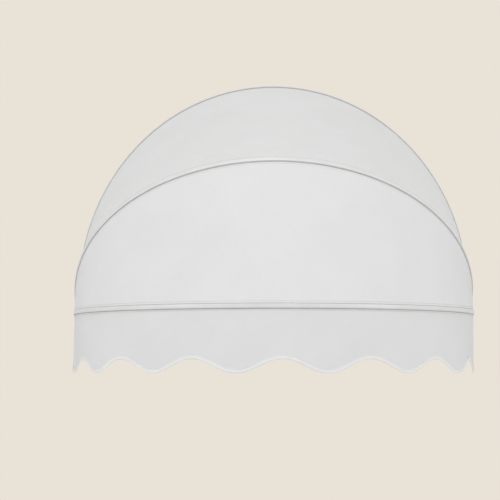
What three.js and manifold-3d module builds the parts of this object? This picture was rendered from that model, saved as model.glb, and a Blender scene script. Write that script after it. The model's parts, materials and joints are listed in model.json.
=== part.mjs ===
// Folding dome awning for a window: three hoops of one bent tube, the first fixed to the wall and the
// other two swinging on a shared pivot line, with two fabric panels and a scalloped valance between them.
// Millimetres, +Z up. The wall is the plane Y = 0 and the awning stands out from it towards -Y.
// The origin lies on the back of the crown bracket, in the wall plane.
import * as THREE from "three";
import { mergeVertices } from "three/addons/utils/BufferGeometryUtils.js";
import Module from "manifold-3d";

const wasm = await Module();
wasm.setup();

// Hoops
const HOOP_WIDTH = 1200; // outside width of each hoop
const HOOP_RISE = 710; // outside height of each hoop above the pivot line
const HOOP_LEG = 65; // straight length of a hoop's leg, from the pivot line up
const HOOP_STEPS = 29; // odd, so that the crown is the middle of a step
const MIDDLE_ANGLE = 35; // degrees above level, as the open awning stands
const FRONT_ANGLE = 0;

// Tube section: depth towards the outside of the arch, width across its plane
const TUBE_DEPTH = 20;
const TUBE_WIDTH = 12;
const TUBE_WALL = 1.4;
const TUBE_CHAMFER = 1;
const CAP = 3; // thickness of the crown strip outside the fabric grooves
const GROOVE_LIP = 0.8;
const GROOVE_FLARE = 0.5;

// Fabric
const FABRIC = 1;
const FABRIC_SAG = 0.012; // inward sag of a panel as a share of its chord
const PANEL_ROWS = 4; // divisions of a panel between its hoops
const KEDER = 3; // diameter of the welt bead in a fabric edge
const VALANCE_DROP = 178; // from the middle of the front hoop down to a scallop's tip
const SCALLOP_DEPTH = 38;
const SCALLOP_PITCH = 245;
const SCALLOP_NOTCH = 18; // the notch nearest the middle lies this far to the right of it
const VALANCE_SPLIT = 3; // valance columns in each hoop step
const BINDING_WIDTH = 10;
const BINDING = 0.6;

// Clearances
const FIT = 0.3;
const RUNNING_FIT = 0.6; // around and beside what turns
const SLOT_CLEARANCE = 0.4;
const BORE_CLEARANCE = 0.5;

// Pivots
const PIVOT_OUT = 40; // pivot line in front of the wall
const PIVOT_INSET = 1; // bolt head inside the outer face of the hoops
const BOLT = 8;
const BOLT_HEAD = 15;
const BOLT_HEAD_HEIGHT = 5;
const HEAD_CROWN = 0.7; // flat top of a bolt's or screw's head, as a share of the head
const NUT_ACROSS = 15;
const NUT_SIDES = 6;
const NUT_HEIGHT = 6;
const BOLT_TAIL = 2; // bolt end beyond the nut
const WASHER = 17;
const WASHER_THICKNESS = 1.4;
const LUG_THICKNESS = 5.5;
const LUG_EYE = 22;
const LUG_REACH = 75; // from the pivot to the end of a swinging hoop's tube
const LUG_SHOULDER = 8;
const PLUG = 42; // length of a lug's or bracket's plug inside its tube

// Pivot brackets on the wall
const EAR_THICKNESS = 5;
const EAR_EYE = 30;
const EAR_ROOT = 26; // the ear's reach below the pivot line where it meets its plate
const PLATE_THICKNESS = 5;
const PLATE_WIDTH = 42;
const PLATE_ABOVE = 20; // plate above and below the pivot line
const PLATE_BELOW = 62;
const WALL_HOOP_START = 36; // lower end of the wall hoop's tube above the pivot line
const WALL_SCREW_HOLE = 7;
const PLATE_HOLE_EDGE = 12; // from the plate's outer edge and from its ends

// Screws
const SCREW = 4;
const SCREW_HEAD = 8;
const SCREW_HEAD_HEIGHT = 2.4;
const SCREW_LENGTH = 8.5;
const SCREW_INTO_PLUG = 22; // from the end of a tube to the screw in its plug

// Wall clips and crown bracket
const CLIP_THICKNESS = 3;
const CLIP_WIDTH = 28;
const CLIP_HEIGHT = 40;
const CLIP_STEP = 8; // hoop step that carries a clip, counted from each end
const CLIP_HOLE_DOWN = 24; // wall screw holes below the top of a clip or of the crown bracket
const CROWN_WIDTH = 60;
const CROWN_HEIGHT = 56;
const CROWN_HOLE_SPREAD = 21;
const ORIGIN_DOWN = 12; // the part's origin below the top of the crown bracket

// Lift line pulley and eyes
const SHEAVE = 26;
const SHEAVE_WIDTH = 12;
const SHEAVE_GROOVE = 5;
const SHEAVE_RIM = 1.5;
const SHEAVE_PIN = 6;
const PIN_HEAD = 10;
const CHEEK_THICKNESS = 2.5;
const CHEEK_EYE = 20;
const PULLEY_OUT = 21; // pulley pin in front of the crown bracket's plate
const PULLEY_DOWN = 34; // pulley pin below the top of the crown bracket
const EYE_RING = 16; // diameter of a lift eye on the middle of its wire
const EYE_WIRE = 3.6;
const EYE_PAD = 9;
const EYE_PAD_HEIGHT = 3;

// Fineness of the round parts
const ROUND = 12;
const HALF_ROUND = 6;
const CHEEK_ROUND = 4;
const SMALL_ROUND = 8;
const WIRE_ROUND = 6;
const BORE_ROUND = 3; // each half of a groove's bore and of a welt bead
const ARCH_DIVISIONS = 2000;
const WELD = 1e-4;

const halfDepth = TUBE_DEPTH / 2;
const halfWidth = TUBE_WIDTH / 2;
const slot = FABRIC + 2 * SLOT_CLEARANCE;
const boreRadius = KEDER / 2 + BORE_CLEARANCE;
const boreMouth = Math.sqrt(boreRadius ** 2 - (slot / 2) ** 2);
const boreSide = halfWidth - GROOVE_LIP - boreMouth;
const fabricOut = halfDepth - CAP - slot / 2;
const fabricEdge = boreSide + KEDER / 2 + FIT;
const fabricBend = halfWidth + FABRIC;
const hollowSide = halfWidth - TUBE_WALL;
const hollowBack = -halfDepth + TUBE_WALL;
const hollowFront = fabricOut - boreRadius - TUBE_WALL;

const material = (color, roughness, metalness = 0) =>
  new THREE.MeshStandardMaterial({ color, roughness, metalness });
const coatedAluminium = material(0xe9e9e7, 0.4);
const fabric = material(0xe0e0e0, 0.85);
const tape = material(0xebebeb, 0.8);
const bead = material(0xd8d8d6, 0.6);
const steel = material(0xb9bcc0, 0.3, 1);
const nylon = material(0x2b2b2d, 0.5);

const X = new THREE.Vector3(1, 0, 0);
const Y = new THREE.Vector3(0, 1, 0);
const Z = new THREE.Vector3(0, 0, 1);
const radians = THREE.MathUtils.degToRad;

// Booleans on closed geometries
function solid(geometry) {
  const bare = geometry.clone();
  bare.deleteAttribute("normal");
  bare.deleteAttribute("uv");
  const merged = mergeVertices(bare, WELD);
  return new wasm.Manifold(
    new wasm.Mesh({
      numProp: 3,
      vertProperties: merged.attributes.position.array,
      triVerts: new Uint32Array(merged.index.array),
    }),
  );
}

function carve(whole, additions, cuts = []) {
  let made = solid(whole);
  for (const piece of additions) made = made.add(solid(piece));
  for (const piece of cuts) made = made.subtract(solid(piece));
  const mesh = made.getMesh();
  const geometry = new THREE.BufferGeometry();
  geometry.setAttribute("position", new THREE.BufferAttribute(mesh.vertProperties, 3));
  geometry.setIndex(new THREE.BufferAttribute(mesh.triVerts, 1));
  geometry.computeVertexNormals();
  return geometry;
}

// A box given by its two corners
function block(from, to) {
  const size = to.map((value, axis) => value - from[axis]);
  const box = new THREE.BoxGeometry(...size);
  return box.translate(...from.map((value, axis) => value + size[axis] / 2));
}

// A turned solid about Y, from [radius, height] pairs
function turned(profile, segments = ROUND) {
  const points = profile.map(([radius, height]) => new THREE.Vector2(radius, height));
  return new THREE.LatheGeometry(points, segments);
}

// A flat ring about Y, from height 0 up
const ring = (inner, outer, height) =>
  turned([[inner, 0], [outer, 0], [outer, height], [inner, height], [inner, 0]]);

// A rod about Y between two heights
const rod = (radius, from, to, segments = ROUND) =>
  turned([[0, from], [radius, from], [radius, to], [0, to]], segments);

// The hoop's line: leg, half ellipse, leg, in its own plane, from the right pivot to the left one
const lineHalfWidth = HOOP_WIDTH / 2 - halfDepth;
const arch = new THREE.EllipseCurve(
  0, HOOP_LEG, lineHalfWidth, HOOP_RISE - halfDepth - HOOP_LEG, 0, Math.PI);
arch.arcLengthDivisions = ARCH_DIVISIONS;
const archLength = arch.getLength();
const lineLength = archLength + 2 * HOOP_LEG;

// Point, direction and outward direction of the hoop's line at a distance along it
function stationAt(distance) {
  const fromArch = distance - HOOP_LEG;
  const onArch = THREE.MathUtils.clamp(fromArch, 0, archLength);
  const past = fromArch - onArch;
  const flat = arch.getTangentAt(onArch / archLength);
  if (past !== 0) flat.set(0, -Math.sign(past));
  const point = arch.getPointAt(onArch / archLength).addScaledVector(flat, past);
  return {
    distance,
    point: new THREE.Vector3(point.x, point.y, 0),
    along: new THREE.Vector3(flat.x, flat.y, 0),
    out: new THREE.Vector3(flat.y, -flat.x, 0),
  };
}

// The stations that every hoop, panel and welt bead shares
const stations = Array.from({ length: HOOP_STEPS + 1 }, (_, step) =>
  stationAt(LUG_REACH + (step / HOOP_STEPS) * (lineLength - 2 * LUG_REACH)));
const wallStations = [
  stationAt(WALL_HOOP_START),
  ...stations,
  stationAt(lineLength - WALL_HOOP_START),
];

// A path through given stations, for sweeping a section along it
class StationPath extends THREE.Curve {
  constructor(list) {
    super();
    this.list = list;
  }
  stationFor(share) {
    return this.list[Math.round(share * (this.list.length - 1))];
  }
  getPointAt(share, target = new THREE.Vector3()) {
    return target.copy(this.stationFor(share).point);
  }
  getTangentAt(share, target = new THREE.Vector3()) {
    return target.copy(this.stationFor(share).along);
  }
}

// Sweeps a section whose x runs across the hoop's plane and whose y runs inwards
function sweep(section, list, curveSegments) {
  return new THREE.ExtrudeGeometry(section, {
    steps: list.length - 1,
    extrudePath: new StationPath(list),
    curveSegments,
  });
}

// A point on the straight run between two stations, off the line by out and side
function onStep(step, out, side) {
  const index = Math.min(Math.floor(step), HOOP_STEPS - 1);
  const share = step - index;
  const point = stations[index].point.clone().lerp(stations[index + 1].point, share);
  const outward = stations[index].out.clone().lerp(stations[index + 1].out, share);
  return point.addScaledVector(outward, out).setZ(side);
}

// The frame (out, along, side) at a distance past the start of a run between two stations
function runFrame(from, to, distance) {
  const along = to.point.clone().sub(from.point).normalize();
  const frame = new THREE.Matrix4().makeBasis(new THREE.Vector3().crossVectors(along, Z), along, Z);
  return frame.setPosition(from.point.clone().addScaledVector(along, distance));
}

const stepFrame = (step) =>
  runFrame(stations[step], stations[step + 1],
    stations[step].point.distanceTo(stations[step + 1].point) / 2);

// The tube's section: crown strip, a groove for a welt bead on each flank, and a hollow body
function tubeSection() {
  const section = new THREE.Shape();
  const mouth = Math.asin(slot / 2 / boreRadius);
  section.moveTo(-halfWidth + TUBE_CHAMFER, -halfDepth);
  section.lineTo(halfWidth - TUBE_CHAMFER, -halfDepth);
  section.lineTo(halfWidth, -halfDepth + TUBE_CHAMFER);
  section.lineTo(halfWidth, -fabricOut - slot / 2);
  section.absarc(boreSide, -fabricOut, boreRadius, -mouth, mouth, true);
  section.lineTo(halfWidth, -fabricOut + slot / 2 + GROOVE_FLARE);
  section.lineTo(halfWidth, halfDepth - TUBE_CHAMFER);
  section.lineTo(halfWidth - TUBE_CHAMFER, halfDepth);
  section.lineTo(-halfWidth + TUBE_CHAMFER, halfDepth);
  section.lineTo(-halfWidth, halfDepth - TUBE_CHAMFER);
  section.lineTo(-halfWidth, -fabricOut + slot / 2 + GROOVE_FLARE);
  section.absarc(-boreSide, -fabricOut, boreRadius, Math.PI - mouth, Math.PI + mouth, true);
  section.lineTo(-halfWidth, -fabricOut - slot / 2);
  section.lineTo(-halfWidth, -halfDepth + TUBE_CHAMFER);
  section.closePath();
  const hollow = new THREE.Path();
  hollow.moveTo(-hollowSide, -hollowFront);
  hollow.lineTo(-hollowSide, -hollowBack);
  hollow.lineTo(hollowSide, -hollowBack);
  hollow.lineTo(hollowSide, -hollowFront);
  hollow.closePath();
  section.holes.push(hollow);
  return section;
}

// A drilling through the inner wall of a tube, in a frame on its line
const drilling = (frame) =>
  rod(SCREW / 2 + FIT, -TUBE_DEPTH, hollowBack + SCREW_LENGTH, SMALL_ROUND)
    .applyMatrix4(outwards(frame));

// Turns a solid about Y to run outwards in a frame
const outwards = (frame) =>
  frame.clone().multiply(new THREE.Matrix4().makeBasis(Y.clone().negate(), X, Z));

// A pan head screw that clamps a thickness against the inside of a tube
function tubeScrew(frame, clamped) {
  const under = -halfDepth - FIT - clamped;
  const head = SCREW_HEAD / 2;
  const screw = turned([
    [0, under - SCREW_HEAD_HEIGHT],
    [head * HEAD_CROWN, under - SCREW_HEAD_HEIGHT],
    [head, under - SCREW_HEAD_HEIGHT / 2],
    [head, under],
    [SCREW / 2, under],
    [SCREW / 2, under + SCREW_LENGTH],
    [0, under + SCREW_LENGTH],
  ], SMALL_ROUND);
  return screw.applyMatrix4(outwards(frame));
}

// Frames of the drillings; the left ones are the right ones mirrored
const mirrorX = new THREE.Matrix4().makeScale(-1, 1, 1);
const plugScrew = runFrame(stations[0], stations[1], SCREW_INTO_PLUG);
const spigotScrew = runFrame(wallStations[0], wallStations[1], SCREW_INTO_PLUG);
const clipFrame = stepFrame(CLIP_STEP);
const crownFrame = stepFrame((HOOP_STEPS - 1) / 2);
const clearOfFoot = new THREE.Matrix4().makeTranslation(0, 0, CLIP_THICKNESS / 2);
const clipScrew = clipFrame.clone().multiply(clearOfFoot);
const crownScrew = crownFrame.clone().multiply(clearOfFoot);

function mirrored(geometry) {
  const copy = geometry.clone().applyMatrix4(mirrorX);
  const flipped = copy.index ? copy.toNonIndexed() : copy;
  const position = flipped.getAttribute("position");
  const order = Array.from({ length: position.count }, (_, i) => i - (i % 3) + ((3 - (i % 3)) % 3));
  flipped.setIndex(order);
  return flipped;
}

function hoopTube(list, crown, sideFrames) {
  const cuts = [drilling(crown)];
  for (const frame of sideFrames) cuts.push(drilling(frame), mirrored(drilling(frame)));
  return carve(sweep(tubeSection(), list, BORE_ROUND), [], cuts);
}

// A welt bead in the groove on one flank of a tube
function keder(flank) {
  const section = new THREE.Shape();
  section.absarc(-flank * boreSide, -fabricOut, KEDER / 2, 0, 2 * Math.PI);
  return sweep(section, stations, BORE_ROUND);
}

// Where each piece of a pivot stands across the awning, from the bolt's head inwards
const pivotStack = {};
let stackEdge = HOOP_WIDTH / 2 - PIVOT_INSET;
for (const [piece, thickness] of [
  ["head", BOLT_HEAD_HEIGHT],
  ["outer_washer", WASHER_THICKNESS],
  ["front_lug", LUG_THICKNESS],
  ["lug_washer", WASHER_THICKNESS],
  ["middle_lug", LUG_THICKNESS],
  ["ear_washer", WASHER_THICKNESS],
  ["ear", EAR_THICKNESS],
  ["nut_washer", WASHER_THICKNESS],
  ["nut", NUT_HEIGHT],
]) {
  stackEdge -= thickness;
  pivotStack[piece] = stackEdge;
  stackEdge -= FIT;
}

// A flat outline in the (y, z) plane, thickened towards +X from a given place
function slabX(outline, place, thickness) {
  const slab = new THREE.ExtrudeGeometry(outline, {
    depth: thickness,
    bevelEnabled: false,
    curveSegments: HALF_ROUND,
  });
  return slab.applyMatrix4(new THREE.Matrix4().makeBasis(Y, Z, X)).translate(place, 0, 0);
}

function boltHole(outline, y = 0, z = 0) {
  const hole = new THREE.Path();
  hole.absarc(y, z, BOLT / 2 + RUNNING_FIT, 0, 2 * Math.PI);
  outline.holes.push(hole);
  return outline;
}

// A plug that fills the hollow at the end of a tube and reaches a little way out of it
function plugIn(list) {
  const plug = block(
    [hollowBack + FIT, -LUG_SHOULDER / 2, -hollowSide + FIT],
    [hollowFront - FIT, PLUG, hollowSide - FIT]);
  return plug.applyMatrix4(runFrame(list[0], list[1], 0));
}

// A hoop's end lug: an eye and strap on the pivot, a shoulder under the tube and a plug inside it
function lug(place) {
  const strap = new THREE.Shape();
  const waist = Math.asin(TUBE_WIDTH / LUG_EYE);
  strap.moveTo(LUG_REACH - LUG_SHOULDER / 2, -halfWidth);
  strap.lineTo(LUG_REACH - LUG_SHOULDER / 2, halfWidth);
  strap.absarc(0, 0, LUG_EYE / 2, waist, 2 * Math.PI - waist);
  strap.closePath();
  const end = stations[0];
  const endFrame = new THREE.Matrix4().makeBasis(end.out, end.along, Z).setPosition(end.point);
  const shoulder = block([-halfDepth, -LUG_SHOULDER, -halfWidth], [halfDepth, -FIT, halfWidth]);
  return carve(
    slabX(boltHole(strap), place, LUG_THICKNESS),
    [shoulder.applyMatrix4(endFrame), plugIn(stations)],
    [drilling(plugScrew)]);
}

// A screw eye under the crown of a hoop, for the lift line
function liftEye() {
  const seat = -halfDepth - FIT;
  const wire = EYE_WIRE / 2;
  const loop = new THREE.TorusGeometry(EYE_RING / 2, wire, WIRE_ROUND, ROUND);
  loop.translate(seat - EYE_PAD_HEIGHT - EYE_RING / 2, 0, 0);
  const pad = rod(EYE_PAD / 2, seat - EYE_PAD_HEIGHT, seat, SMALL_ROUND);
  const shank = rod(SCREW / 2, seat - EYE_PAD_HEIGHT, seat + SCREW_LENGTH, SMALL_ROUND);
  const turn = outwards(new THREE.Matrix4());
  return carve(loop, [pad.applyMatrix4(turn), shank.applyMatrix4(turn)]).applyMatrix4(crownFrame);
}

// Right pivot bracket, in the awning's frame: wall plate, ear, and a spigot up the wall hoop's tube
function pivotBracket() {
  const ear = new THREE.Shape();
  ear.moveTo(-PLATE_THICKNESS / 2, -EAR_ROOT);
  ear.lineTo(-PLATE_THICKNESS / 2, PLATE_ABOVE);
  ear.absarc(-PIVOT_OUT, 0, EAR_EYE / 2, Math.PI / 2, 1.5 * Math.PI);
  ear.closePath();
  const outer = HOOP_WIDTH / 2;
  const plate = block(
    [outer - PLATE_WIDTH, -PLATE_THICKNESS, -PLATE_BELOW],
    [outer, 0, PLATE_ABOVE]);
  const shoulder = block(
    [outer - TUBE_DEPTH, -TUBE_WIDTH, PLATE_ABOVE - LUG_SHOULDER],
    [outer, 0, WALL_HOOP_START - FIT]);
  const spigot = plugIn(wallStations).applyMatrix4(wallPlane);
  const holes = [PLATE_HOLE_EDGE - PLATE_BELOW, -PLATE_HOLE_EDGE].map((z) =>
    rod(WALL_SCREW_HOLE / 2, -2 * PLATE_THICKNESS, PLATE_THICKNESS)
      .translate(outer - PLATE_HOLE_EDGE, 0, z));
  return carve(
    slabX(boltHole(ear, -PIVOT_OUT, 0), pivotStack.ear, EAR_THICKNESS),
    [plate, shoulder, spigot],
    [...holes, drilling(spigotScrew).applyMatrix4(wallPlane)]);
}

// Pivot fastenings, turned about Y and then laid along X
const layX = (geometry, place) =>
  geometry.applyMatrix4(new THREE.Matrix4().makeBasis(Z, X, Y)).translate(place, -PIVOT_OUT, 0);

function pivotBolt() {
  const tail = pivotStack.nut - BOLT_TAIL - pivotStack.head;
  const head = BOLT_HEAD / 2;
  return layX(turned([
    [0, tail],
    [BOLT / 2, tail],
    [BOLT / 2, 0],
    [head, 0],
    [head, BOLT_HEAD_HEIGHT / 2],
    [head * HEAD_CROWN, BOLT_HEAD_HEIGHT],
    [0, BOLT_HEAD_HEIGHT],
  ]), pivotStack.head);
}

function pivotNut() {
  const hexagon = new THREE.CylinderGeometry(
    NUT_ACROSS / Math.sqrt(3), NUT_ACROSS / Math.sqrt(3), NUT_HEIGHT, NUT_SIDES);
  const hole = rod(BOLT / 2 + FIT, -NUT_HEIGHT, NUT_HEIGHT);
  return layX(carve(hexagon, [], [hole]), pivotStack.nut + NUT_HEIGHT / 2);
}

const pivotWasher = (place) =>
  layX(ring(BOLT / 2 + RUNNING_FIT, WASHER / 2, WASHER_THICKNESS), place);

// An angle clip under the wall hoop, in a hoop frame: a flange on the tube and a foot on the wall
function angleClip(width, height, holeSpread) {
  const top = -halfDepth - FIT;
  const flange = block([top - CLIP_THICKNESS, -width / 2, -halfWidth], [top, width / 2, halfWidth]);
  const foot = block(
    [top - height, -width / 2, -halfWidth],
    [top, width / 2, -halfWidth + CLIP_THICKNESS]);
  const turn = new THREE.Matrix4().makeBasis(X, Z, Y.clone().negate());
  const holes = holeSpread.map((spread) =>
    rod(WALL_SCREW_HOLE / 2, -TUBE_WIDTH, 0)
      .applyMatrix4(turn)
      .translate(top - CLIP_HOLE_DOWN, spread, 0));
  return { flange, foot, holes };
}

function wallClip() {
  const { flange, foot, holes } = angleClip(CLIP_WIDTH, CLIP_HEIGHT, [0]);
  return carve(flange, [foot], [...holes, drilling(clearOfFoot)]).applyMatrix4(clipFrame);
}

const pulleyOut = -halfDepth - FIT - PULLEY_DOWN;
const pulleySide = -halfWidth + CLIP_THICKNESS + PULLEY_OUT;

function crownBracket() {
  const { flange, foot, holes } = angleClip(
    CROWN_WIDTH, CROWN_HEIGHT, [-CROWN_HOLE_SPREAD, CROWN_HOLE_SPREAD]);
  const outline = new THREE.Shape();
  outline.moveTo(-halfWidth, pulleyOut - CHEEK_EYE / 2);
  outline.absarc(pulleySide, pulleyOut, CHEEK_EYE / 2, -Math.PI / 2, Math.PI / 2);
  outline.lineTo(-halfWidth, pulleyOut + CHEEK_EYE / 2);
  outline.closePath();
  const hole = new THREE.Path();
  hole.absarc(pulleySide, pulleyOut, SHEAVE_PIN / 2 + FIT, 0, 2 * Math.PI);
  outline.holes.push(hole);
  const inner = SHEAVE_WIDTH / 2 + RUNNING_FIT;
  const cheeks = [inner, -inner - CHEEK_THICKNESS].map((place) =>
    new THREE.ExtrudeGeometry(outline, {
      depth: CHEEK_THICKNESS,
      bevelEnabled: false,
      curveSegments: CHEEK_ROUND,
    })
      .applyMatrix4(new THREE.Matrix4().makeBasis(Z, X, Y))
      .translate(0, place, 0));
  const inHoop = carve(flange, [foot, ...cheeks], [...holes, drilling(clearOfFoot)]);
  return inHoop.applyMatrix4(crownFrame);
}

function sheave() {
  const half = SHEAVE_WIDTH / 2;
  const bore = SHEAVE_PIN / 2 + RUNNING_FIT;
  const rim = SHEAVE / 2;
  const wheel = turned([
    [bore, -half],
    [rim, -half],
    [rim, -half + SHEAVE_RIM],
    [rim - SHEAVE_GROOVE, 0],
    [rim, half - SHEAVE_RIM],
    [rim, half],
    [bore, half],
    [bore, -half],
  ], 2 * SMALL_ROUND);
  return wheel.translate(pulleyOut, 0, pulleySide).applyMatrix4(crownFrame);
}

function sheavePin() {
  const grip = SHEAVE_WIDTH / 2 + RUNNING_FIT + CHEEK_THICKNESS + FIT;
  const shank = SHEAVE_PIN / 2;
  const head = PIN_HEAD / 2;
  const pin = turned([
    [0, -grip - SHEAVE_RIM],
    [head, -grip - SHEAVE_RIM],
    [head, -grip],
    [shank, -grip],
    [shank, grip],
    [head, grip],
    [head, grip + SHEAVE_RIM],
    [0, grip + SHEAVE_RIM],
  ]);
  return pin.translate(pulleyOut, 0, pulleySide).applyMatrix4(crownFrame);
}

// A closed strip solid from stations that each hold two facing rows of points
function strip(rows) {
  const count = rows[0].front.length;
  const rings = rows.map(({ front, back }) => [...front, ...back.toReversed()]);
  const around = 2 * count;
  const index = [];
  const quad = (a, b, c, d) => index.push(a, c, b, a, d, c);
  for (let row = 0; row + 1 < rings.length; row += 1)
    for (let i = 0; i < around; i += 1) {
      const next = (i + 1) % around;
      const here = row * around;
      quad(here + i, here + next, here + around + next, here + around + i);
    }
  const last = (rings.length - 1) * around;
  for (let i = 0; i + 1 < count; i += 1) {
    const facing = around - 1 - i;
    quad(i, facing, facing - 1, i + 1);
    quad(last + i, last + i + 1, last + facing - 1, last + facing);
  }
  const geometry = new THREE.BufferGeometry().setFromPoints(rings.flat());
  geometry.setIndex(index);
  geometry.computeVertexNormals();
  return geometry;
}

// The planes of the hoops, in a frame with its origin in the wall plane on the pivot line
function hoopPlane(angle, y) {
  const plane = new THREE.Matrix4().makeRotationX(Math.PI - radians(angle));
  return plane.setPosition(0, y, 0);
}
const wallPlane = hoopPlane(90, -halfWidth);
const middlePlane = hoopPlane(MIDDLE_ANGLE, -PIVOT_OUT);
const frontPlane = hoopPlane(FRONT_ANGLE, -PIVOT_OUT);

// A fabric panel from the lower flank of one hoop to the upper flank of the next
function panel(upper, lower) {
  const rows = stations.map((station, step) => {
    const edge = (plane, side) => onStep(step, fabricOut, side).applyMatrix4(plane);
    const start = edge(upper, fabricBend);
    const end = edge(lower, -fabricBend);
    const outUpper = station.out.clone().transformDirection(upper);
    const outLower = station.out.clone().transformDirection(lower);
    const sag = FABRIC_SAG * start.distanceTo(end);
    const middle = [edge(upper, fabricEdge)];
    const outward = [outUpper];
    for (let row = 0; row <= PANEL_ROWS; row += 1) {
      const share = row / PANEL_ROWS;
      const out = outUpper.clone().lerp(outLower, share).normalize();
      const dip = -sag * Math.sin(Math.PI * share);
      middle.push(start.clone().lerp(end, share).addScaledVector(out, dip));
      outward.push(out);
    }
    middle.push(edge(lower, -fabricEdge));
    outward.push(outLower);
    const face = (half) => middle.map((point, i) => point.clone().addScaledVector(outward[i], half));
    return { front: face(FABRIC / 2), back: face(-FABRIC / 2) };
  });
  return strip(rows);
}

// Length of the valance below the middle of the front hoop, at a place along the hoop
function valanceDrop(step) {
  const place = (0.5 - step / HOOP_STEPS) * (lineLength - 2 * LUG_REACH);
  const wave = Math.cos((2 * Math.PI * (place - SCALLOP_NOTCH)) / SCALLOP_PITCH);
  return VALANCE_DROP - (SCALLOP_DEPTH * (1 + wave)) / 2;
}

const valanceSteps = Array.from(
  { length: HOOP_STEPS * VALANCE_SPLIT + 1 },
  (_, column) => column / VALANCE_SPLIT);

function valance() {
  const rows = valanceSteps.map((step) => {
    const heights = [fabricEdge, fabricBend, valanceDrop(step)];
    const face = (half) => heights.map((side) => onStep(step, fabricOut + half, side));
    return { front: face(FABRIC / 2), back: face(-FABRIC / 2) };
  });
  return strip(rows);
}

// The tape folded over the valance's scalloped edge
function valanceBinding() {
  const rows = valanceSteps.map((step) => {
    const bottom = valanceDrop(step) + FIT;
    const fold = (half, side) => [
      onStep(step, fabricOut + half, bottom - BINDING_WIDTH),
      onStep(step, fabricOut + half, side),
      onStep(step, fabricOut - half, side),
      onStep(step, fabricOut - half, bottom - BINDING_WIDTH),
    ];
    const inner = FABRIC / 2 + FIT;
    return { front: fold(inner + BINDING, bottom + BINDING), back: fold(inner, bottom) };
  });
  return strip(rows);
}

// Assembly
const awning = new THREE.Group();
const crownBackHeight = new THREE.Vector3()
  .setFromMatrixPosition(crownFrame).y - halfDepth - FIT - ORIGIN_DOWN;
awning.position.z = -crownBackHeight;

const wallFrame = new THREE.Group();
const middleBow = new THREE.Group();
const frontBow = new THREE.Group();
for (const [bow, plane] of [[wallFrame, wallPlane], [middleBow, middlePlane], [frontBow, frontPlane]]) {
  bow.applyMatrix4(plane);
  awning.add(bow);
}

function add(group, name, geometry, look) {
  const mesh = new THREE.Mesh(geometry, look);
  mesh.name = name;
  group.add(mesh);
}

function addPair(group, name, geometry, look) {
  add(group, name + "_right", geometry, look);
  add(group, name + "_left", mirrored(geometry), look);
}

add(wallFrame, "wall_hoop", hoopTube(wallStations, crownScrew, [spigotScrew, clipScrew]), coatedAluminium);
add(wallFrame, "wall_keder", keder(1), bead);
add(wallFrame, "crown_bracket", crownBracket(), coatedAluminium);
add(wallFrame, "crown_screw", tubeScrew(crownScrew, CLIP_THICKNESS + FIT), steel);
add(wallFrame, "pulley_sheave", sheave(), nylon);
add(wallFrame, "pulley_pin", sheavePin(), steel);
addPair(wallFrame, "wall_clip", wallClip(), coatedAluminium);
addPair(wallFrame, "clip_screw", tubeScrew(clipScrew, CLIP_THICKNESS + FIT), steel);
addPair(wallFrame, "spigot_screw", tubeScrew(spigotScrew, 0), steel);

addPair(awning, "pivot_bracket", pivotBracket(), coatedAluminium);
addPair(awning, "pivot_bolt", pivotBolt(), steel);
addPair(awning, "pivot_nut", pivotNut(), steel);
for (const washer of ["outer_washer", "lug_washer", "ear_washer", "nut_washer"])
  addPair(awning, washer, pivotWasher(pivotStack[washer]), nylon);

for (const [bow, name] of [[middleBow, "middle"], [frontBow, "front"]]) {
  add(bow, name + "_hoop", hoopTube(stations, crownFrame, [plugScrew]), coatedAluminium);
  add(bow, name + "_upper_keder", keder(-1), bead);
  add(bow, name + "_lower_keder", keder(1), bead);
  add(bow, name + "_lift_eye", liftEye(), steel);
  addPair(bow, name + "_lug", lug(pivotStack[name + "_lug"]), coatedAluminium);
  addPair(bow, name + "_lug_screw", tubeScrew(plugScrew, 0), steel);
}

add(awning, "rear_panel", panel(wallPlane, middlePlane), fabric);
add(awning, "front_panel", panel(middlePlane, frontPlane), fabric);
add(frontBow, "valance", valance(), fabric);
add(frontBow, "valance_binding", valanceBinding(), tape);

export default awning;
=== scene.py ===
import json
import math

import bmesh
import bpy
import numpy as np
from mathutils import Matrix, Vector
from mathutils.geometry import tessellate_polygon

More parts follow.
